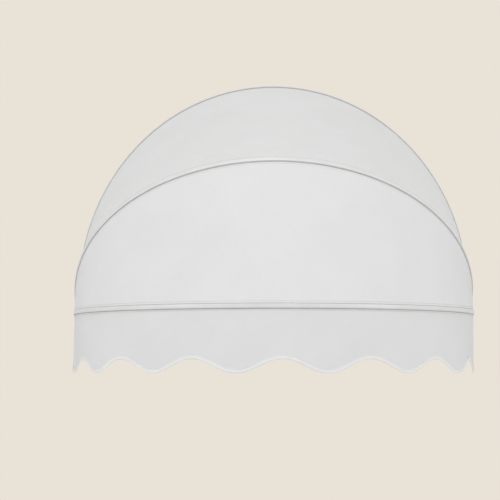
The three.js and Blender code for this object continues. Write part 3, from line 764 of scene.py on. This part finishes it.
def panel(name, node_name, upper, lower, shade_flap, stay, bodies):
    cloth, cloth_weights, area = panel_cloth(name, upper, lower, stay)
    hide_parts(node_name)
    pieces = [
        # the two flaps are painted shade along the hoops
        panel_shade_flap(name + "_upper_shade_flap", upper, lower, shade_flap, False),
        panel_shade_flap(name + "_lower_shade_flap", upper, lower, LOWER_SHADE_FLAP, True),
        panel_stitches(name + "_stitches", upper, lower, shade_flap, stay),
    ]
    for piece, weights in [(cloth, cloth_weights), *pieces]:
        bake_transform(piece, *bodies, start=upper.crown(), end=lower.crown())
        weight = piece.data.attributes["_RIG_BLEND"]
        weight.data.foreach_set("value", weights.astype(np.float32))
    depth = float(panel_chord(upper, lower, np.zeros(1))[0])


panel("rear_canopy_panel", "rear_panel", wall, middle, WALL_SHADE_FLAP, (STAY_WALL, STAY),
      ("wall_frame", "middle_bow"))
panel("front_canopy_panel", "front_panel", middle, front, MIDDLE_SHADE_FLAP, (STAY, STAY),
      ("middle_bow", "front_bow"))


# Valance
def valance_drop(s):
    wave = np.cos(2 * math.pi * (s - SCALLOP_NOTCH) / SCALLOP_PITCH)
    return VALANCE_DROP - SCALLOP_DEPTH * (1 + wave) / 2


def valance_surface(s, side):
    """Points of the hanging valance at places along the hoop and below its plane."""
    hang = np.clip((side - FABRIC_BEND) / VALANCE_DROP, 0, HANG_LIMIT) ** HANG_CURVE
    long, short = (np.sin(2 * math.pi * s / length + phase)
                   for length, phase in zip(RIPPLE_LENGTHS, RIPPLE_PHASES))
    swing = long + SHORT_RIPPLE * short
    return front.point(s, GROOVE_OUT + RIPPLE * hang * swing, side)


def valance():
    s = np.linspace(swing_end, -swing_end, VALANCE_COLUMNS)[:, None]
    share = np.linspace(0, 1, VALANCE_ROWS)[None, :]
    side = FABRIC_EDGE + (valance_drop(s) - FABRIC_EDGE) * share
    surface = valance_surface(s, side)
    to_edge = np.minimum(side - FABRIC_EDGE, swing_end - np.abs(s))
    thickness = CLOTH + HEM * np.clip((HEM_WIDTH - to_edge) / (HEM_WIDTH / 4), 0, 1)
    points, faces = shell(surface, thickness)
    flat = np.stack(np.broadcast_arrays(s, side, 0 * side), -1).reshape(-1, 3)
    made = new_mesh("valance_cloth", points, faces, canvas, cloth=np.concatenate([flat, flat]),
                    crease=CLOTH_CREASE)
    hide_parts("valance")
    return made, area_of(surface)


def binding_place(s, inward):
    """Places on the valance at distances square in from its scalloped edge."""
    slope = (valance_drop(s + SLOPE_STEP) - valance_drop(s - SLOPE_STEP)) / (2 * SLOPE_STEP)
    size = np.sqrt(1 + slope ** 2)
    return s + inward * slope / size, valance_drop(s) - inward / size


def binding():
    """A tape folded over the scalloped edge, puffed a little at the fold."""
    outline = TAPE_FACE + TAPE_FOLD + [(inward, -height) for inward, height in TAPE_FACE[::-1]] + TAPE_LINING
    inward, height = (np.array(values)[None, :] for values in zip(*outline))
    s = np.linspace(swing_end, -swing_end, VALANCE_COLUMNS)[:, None]
    at, side = binding_place(s, inward)
    at = np.clip(at, -swing_end, swing_end)
    surface = valance_surface(at, side)
    surface = surface + height[..., None] * front.outward(at)
    columns = len(outline)
    faces = grid_faces(VALANCE_COLUMNS, columns, closed=True)
    flat = [[Vector((*point, 0)) for point in outline]]
    last = (VALANCE_COLUMNS - 1) * columns
    for triangle in tessellate_polygon(flat):
        faces.append(tuple(triangle[::-1]))
        faces.append(tuple(last + i for i in triangle))
    run = np.linspace(0, TAPE_TURN, columns)[None, :]
    cloth = np.stack(np.broadcast_arrays(s, run, 0 * run), -1)
    made = new_mesh("valance_edge_tape", surface, faces, tape, cloth=cloth, crease=CLOTH_CREASE)
    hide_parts("valance_binding")
    return made


# Painted shade: a grey flap on the valance under the front hoop, darkening its top where the hoop's shade
# falls.
def valance_shade_flap():
    s = np.linspace(swing_end, -swing_end, VALANCE_COLUMNS)[:, None] * (1 - SHADE_FLAP_END)
    side = np.linspace(half_width + SHADE_FLAP, FABRIC_BEND + FRONT_SHADE_FLAP, FLAP_ROWS)[None, :]
    return shade_flap_piece("valance_shade_flap", valance_surface(s, side))


def valance_seam(s, side, lift):
    """Rows of stitches on both faces of the valance."""
    centres = valance_surface(s, side)
    along = unit(np.gradient(centres, axis=0))
    normal = front.outward(s)
    normal = unit(normal - along * (normal * along).sum(-1, keepdims=True))
    return [(centres, along, face * normal, lift) for face in (1, -1)]


def valance_stitches():
    hem_lift = (CLOTH + HEM) / 2
    along = np.arange(HEM_WIDTH - swing_end, swing_end - HEM_WIDTH, STITCH_PITCH)
    rows = valance_seam(along, np.full_like(along, FABRIC_BEND + HEM_SEAM), hem_lift)
    rows += valance_seam(*binding_place(along, TAPE_SEAM), TAPE_LIFT)
    for hand in (1, -1):
        end = hand * (swing_end - HEM_SEAM)
        lowest = float(valance_drop(end)) - TAPE_WIDTH - STITCH_PITCH
        down = np.arange(FABRIC_BEND + 2 * HEM_SEAM, lowest, STITCH_PITCH)
        rows += valance_seam(np.full_like(down, end), down, hem_lift)
    return stitches("valance_stitches", rows, sewing)


cloth_valance, valance_area = valance()
trimmings = [binding(), valance_shade_flap(), valance_stitches()]
for piece in (cloth_valance, *trimmings):
    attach(piece, "front_bow")
    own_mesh(piece)


# Fine fasteners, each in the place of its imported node
turns = np.linspace(0, 2 * math.pi, TURNS, endpoint=False)
six_sided = 1 / np.cos((turns + math.pi / 6) % (math.pi / 3) - math.pi / 6)
body_of = {name: body for body, names in frame["record"]["behaviour"]["bodies"].items() for name in names}


def square_to(axis):
    across = unit(np.cross(axis, (0, 0.6, 0.8) if abs(axis[0]) > 0.7 else (1, 0, 0)))
    return across, np.cross(axis, across)


def node_end(name, axis):
    """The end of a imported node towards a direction, on its middle line, and its length that way."""
    packed = frame["nodes"][name]
    corners = np.array([packed.matrix_world @ corner.co for corner in packed.data.vertices])
    end = axis * (corners @ axis).max()
    for across in square_to(axis):
        end = end + across * ((corners @ across).max() + (corners @ across).min()) / 2
    return end, float(np.ptp(corners @ axis))


def turned(profile, end, axis, hollow=False):
    """Points and faces turned about an axis: rings of (radius, distance from the end, six-sided)."""
    across, beside = square_to(axis)
    around = np.cos(turns)[:, None] * across + np.sin(turns)[:, None] * beside
    rings = []
    for radius, depth, flats in profile:
        reach = radius * (six_sided if flats else np.ones(TURNS))
        rings.append(end - depth * axis + reach[:, None] * around)
    points = np.concatenate(rings)
    if hollow:
        faces = grid_faces(len(profile) + 1, TURNS, closed=True)
        return points, [tuple(i % len(points) for i in face) for face in faces]
    ends = [tuple(range(TURNS)), tuple(range(len(points) - TURNS, len(points)))]
    return points, grid_faces(len(profile), TURNS, closed=True) + ends


def rounds(*rings):
    return [(radius, depth, False) for radius, depth in rings]


def screw_profile(head, head_height, shank, length, socket, pitch):
    """A domed head with a six-sided socket, a plain neck and a thread."""
    profile = [(socket / 2, head_height / 2, True), (socket / 2, 0, True)]
    for turn in np.radians(np.linspace(0, 90, 6)):
        radius = head / 2 * (HEAD_FLAT + (1 - HEAD_FLAT) * math.sin(turn))
        profile += rounds((radius, head_height * HEAD_DOME * (1 - math.cos(turn))))
    profile += rounds((head / 2, HEAD_SIDE * head_height), (HEAD_SEAT * head / 2, head_height),
                      (shank / 2, head_height))
    for depth in np.arange((head_height + length) / 2, length - pitch, pitch):
        profile += rounds((shank / 2, depth), (shank / 2 - THREAD_DEPTH * pitch, depth + pitch / 2))
    return profile + rounds((shank / 2, length - pitch / 2), (shank / 2 - THREAD_POINT * pitch, length))


def ring_profile(hole, across, height, edge, flats=False):
    """A washer or a nut: a ring with eased edges, round its hole."""
    outside = [(across / 2 - edge, 0, False), (across / 2, edge, flats),
               (across / 2, height - edge, flats), (across / 2 - edge, height, False)]
    return rounds((hole / 2, edge), (hole / 2 + edge, 0)) + outside + rounds(
        (hole / 2 + edge, height), (hole / 2, height - edge))


def sheave_profile():
    """A pulley wheel: hub, dished web, rounded rims and a round-bottomed groove for a line."""
    half, bore, rim = SHEAVE_WIDTH / 2, SHEAVE_BORE / 2, SHEAVE / 2
    hub, face = bore + SHEAVE_HUB, rim - SHEAVE_RIM
    side = [(bore, SHEAVE_BORE_EDGE), (bore + SHEAVE_BORE_EDGE, 0), (hub, 0),
            (hub + SHEAVE_HUB_SLOPE, SHEAVE_DISH), (face - SHEAVE_RIM_SLOPE, SHEAVE_DISH), (face, 0),
            (rim - SHEAVE_RIM_EDGE, 0), (rim, SHEAVE_RIM_EDGE), (rim, SHEAVE_FLANGE)]
    groove = [(rim - LINE_GROOVE_DEPTH * math.sin(turn), half - LINE_GROOVE_HALF * math.cos(turn))
              for turn in np.radians(np.linspace(10, 170, 13))]
    return rounds(*side, *groove, *[(radius, SHEAVE_WIDTH - depth) for radius, depth in side[::-1]])


def pin_profile(length):
    """A rivet with a low dome at both ends."""
    dome = [(PIN_HEAD / 2 * math.sin(turn), PIN_HEAD_HEIGHT * (1 - math.cos(turn)))
            for turn in np.radians(np.linspace(8, 90, 7))]
    half = dome + [(PIN / 2, PIN_HEAD_HEIGHT)]
    return rounds(*half, *[(radius, length - depth) for radius, depth in half[::-1]])


def lift_eye(end, axis, length):
    """A ring of wire on a collar and a shank that goes into the hoop."""
    across, _ = square_to(axis)
    middle_of_ring = end - axis * (EYE_RING + EYE_WIRE) / 2
    spokes = np.cos(turns)[:, None] * axis + np.sin(turns)[:, None] * across
    through = np.cross(axis, across)
    wire = np.linspace(0, 2 * math.pi, TURNS // 3, endpoint=False)
    reach = EYE_RING / 2 + EYE_WIRE / 2 * np.cos(wire)
    ring = middle_of_ring + spokes[:, None, :] * reach[None, :, None]
    ring = ring + (EYE_WIRE / 2 * np.sin(wire))[None, :, None] * through
    count = ring.shape[0] * ring.shape[1]
    faces = [tuple(i % count for i in face) for face in grid_faces(TURNS + 1, len(wire), closed=True)]
    pad = EYE_PAD / 2
    collar = EYE_RING + EYE_WIRE / 2
    seat = collar + EYE_PAD_HEIGHT
    stem, stem_faces = turned(rounds(
        (pad - 2 * EYE_PAD_EDGE, collar), (pad - EYE_PAD_EDGE / 3, collar + EYE_PAD_EDGE / 3),
        (pad, collar + EYE_PAD_EDGE), (pad, seat - EYE_PAD_EDGE / 2), (pad - EYE_PAD_EDGE / 2, seat),
        (SCREW / 2, seat), (SCREW / 2, length)), end, axis)
    faces += [tuple(count + i for i in face) for face in stem_faces]
    return np.concatenate([ring.reshape(-1, 3), stem]), faces


def fine(name, made, look):
    piece = new_mesh("fine_" + name, *made, look, crease=PART_CREASE)
    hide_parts(name)
    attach(piece, body_of[name])


def fine_screw(name, hoop):
    low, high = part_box(name)
    s = np.linspace(-line_half, line_half, ARCH_TABLE)
    away = np.linalg.norm(hoop.point(s, 0, 0) - np.array((low + high) / 2), axis=-1)
    axis = -hoop.outward(s[away.argmin()])
    end, length = node_end(name, axis)
    profile = screw_profile(SCREW_HEAD, SCREW_HEAD_HEIGHT, SCREW, length, SCREW_SOCKET, SCREW_THREAD)
    fine(name, turned(profile, end, axis), steel)


for hand, outside in (("_right", np.array([1.0, 0, 0])), ("_left", np.array([-1.0, 0, 0]))):
    end, length = node_end("pivot_bolt" + hand, outside)
    profile = screw_profile(BOLT_HEAD, BOLT_HEAD_HEIGHT, BOLT, length, BOLT_SOCKET, BOLT_THREAD)
    fine("pivot_bolt" + hand, turned(profile, end, outside), steel)
    end, length = node_end("pivot_nut" + hand, outside)
    profile = ring_profile(BOLT, NUT_ACROSS, length, NUT_EDGE, flats=True)
    fine("pivot_nut" + hand, turned(profile, end, outside, hollow=True), steel)
    for washer in ("outer_washer", "lug_washer", "ear_washer", "nut_washer"):
        end, length = node_end(washer + hand, outside)
        profile = ring_profile(WASHER_HOLE, WASHER, length, WASHER_EDGE)
        fine(washer + hand, turned(profile, end, outside, hollow=True), nylon)
    for screw, hoop in (("clip_screw", wall), ("spigot_screw", wall),
                        ("middle_lug_screw", middle), ("front_lug_screw", front)):
        fine_screw(screw + hand, hoop)
fine_screw("crown_screw", wall)
for name, hoop in (("middle_lift_eye", middle), ("front_lift_eye", front)):
    inward = -hoop.outward(0.0)
    end, length = node_end(name, inward)
    fine(name, lift_eye(end, inward, length), steel)
to_right = np.array([1.0, 0, 0])
end, _ = node_end("pulley_sheave", to_right)
fine("pulley_sheave", turned(sheave_profile(), end, to_right, hollow=True), nylon)
end, length = node_end("pulley_pin", to_right)
fine("pulley_pin", turned(pin_profile(length), end, to_right), steel)


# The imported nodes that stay: coated, with eased edges
for name in ("crown_bracket", "wall_clip_right", "wall_clip_left",
             "pivot_bracket_right", "pivot_bracket_left",
             "middle_lug_right", "middle_lug_left", "front_lug_right", "front_lug_left"):
    kept = frame["nodes"][name]
    kept.data.materials.clear()
    kept.data.materials.append(coat)
    kept.modifiers.new("weld", "WELD")
    bevel = kept.modifiers.new("eased_edges", "BEVEL")
    bevel.width = SOFT_EDGE
    bevel.segments = 2
    bevel.limit_method = "ANGLE"
    bevel.angle_limit = PART_CREASE


# Floor, light and camera
def floor():
    """A pale floor that keeps the shadow and runs out into the background."""
    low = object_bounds()[0].z - FLOOR_DROP
    turn = np.linspace(0, 2 * math.pi, FLOOR_SIDES, endpoint=False)
    rim = [(FLOOR_RADIUS * math.cos(t), FLOOR_RADIUS * math.sin(t), low) for t in turn]
    look, shader = shader_of("studio_floor", FLOOR_BOUNCE, 0.9, Specular_IOR_Level=0.1)
    tree = look.node_tree
    seen = node(look, "LightPath").outputs["Is Camera Ray"]
    color = node(look, "Mix", {"Factor": seen}, data_type="RGBA")
    color.inputs["A"].default_value = (*FLOOR_BOUNCE, 1)
    color.inputs["B"].default_value = (*FLOOR_COLOR, 1)
    tree.links.new(color.outputs[2], shader.inputs["Base Color"])
    away = node(look, "VectorMath", {0: object_place(look)}, operation="LENGTH").outputs["Value"]
    fade = node(look, "MapRange", {"Value": away}, {"From Min": FLOOR_FADE, "From Max": FLOOR_RADIUS},
                interpolation_type="SMOOTHSTEP").outputs["Result"]
    plain = node(look, "Emission", values={"Color": (*BACKDROP, 1), "Strength": 1.0})
    mix = node(look, "MixShader", {"Fac": add(look, seen, fade, "MULTIPLY"),
                                   1: shader.outputs["BSDF"], 2: plain.outputs["Emission"]})
    from_below = node(look, "NewGeometry").outputs["Backfacing"]
    one_sided = node(look, "MixShader", {"Fac": from_below, 1: mix.outputs["Shader"],
                                         2: node(look, "BsdfTransparent").outputs["BSDF"]})
    tree.links.new(one_sided.outputs["Shader"], tree.nodes["Material Output"].inputs["Surface"])
    made = new_mesh("studio_floor", rim, [tuple(range(len(rim)))], look)
    if made.data.polygons[0].normal.z < 0:
        made.data.flip_normals()


def area_light(name, place, target, size, power):
    lamp = bpy.data.lights.new(name, "AREA")
    lamp.shape = "DISK"
    lamp.size = size
    lamp.energy = power
    made = bpy.data.objects.new(name, lamp)
    made.location = place
    made.rotation_euler = (Vector(target) - Vector(place)).to_track_quat("-Z", "Y").to_euler()
    bpy.context.scene.collection.objects.link(made)


def world(strength):
    """Soft white light all round, with a pale plain background where it is seen or reflected."""
    made = bpy.data.worlds.new("studio")
    bpy.context.scene.world = made
    made.use_nodes = True
    tree = made.node_tree
    light = tree.nodes["Background"]
    light.inputs["Color"].default_value = (1, 1, 1, 1)
    light.inputs["Strength"].default_value = strength
    seen = tree.nodes.new("ShaderNodeBackground")
    seen.inputs["Color"].default_value = (*BACKDROP, 1)
    seen.inputs["Strength"].default_value = 1
    rays = tree.nodes.new("ShaderNodeLightPath")
    total = rays.outputs["Is Camera Ray"]
    for kind in ("Is Glossy Ray", "Is Transmission Ray"):
        either = tree.nodes.new("ShaderNodeMath")
        either.operation = "MAXIMUM"
        tree.links.new(total, either.inputs[0])
        tree.links.new(rays.outputs[kind], either.inputs[1])
        total = either.outputs["Value"]
    mix = tree.nodes.new("ShaderNodeMixShader")
    tree.links.new(total, mix.inputs["Fac"])
    tree.links.new(light.outputs["Background"], mix.inputs[1])
    tree.links.new(seen.outputs["Background"], mix.inputs[2])
    tree.links.new(mix.outputs["Shader"], tree.nodes["World Output"].inputs["Surface"])


floor()
world(WORLD_STRENGTH)
centre = (cad_box[0] + cad_box[1]) / 2
for name, (place, size, power) in LAMPS.items():
    area_light(name, place, centre, size, power)

camera = bpy.data.cameras.new("photo_camera")
camera.lens = CAMERA_LENS
camera.sensor_width = SENSOR
eye = bpy.data.objects.new("photo_camera", camera)
eye.location = CAMERA_PLACE
eye.rotation_euler = (math.radians(90 + CAMERA_PITCH), 0, math.radians(CAMERA_YAW))
bpy.context.scene.collection.objects.link(eye)
bpy.context.scene.camera = eye
bpy.context.scene.view_settings.view_transform = "Standard"
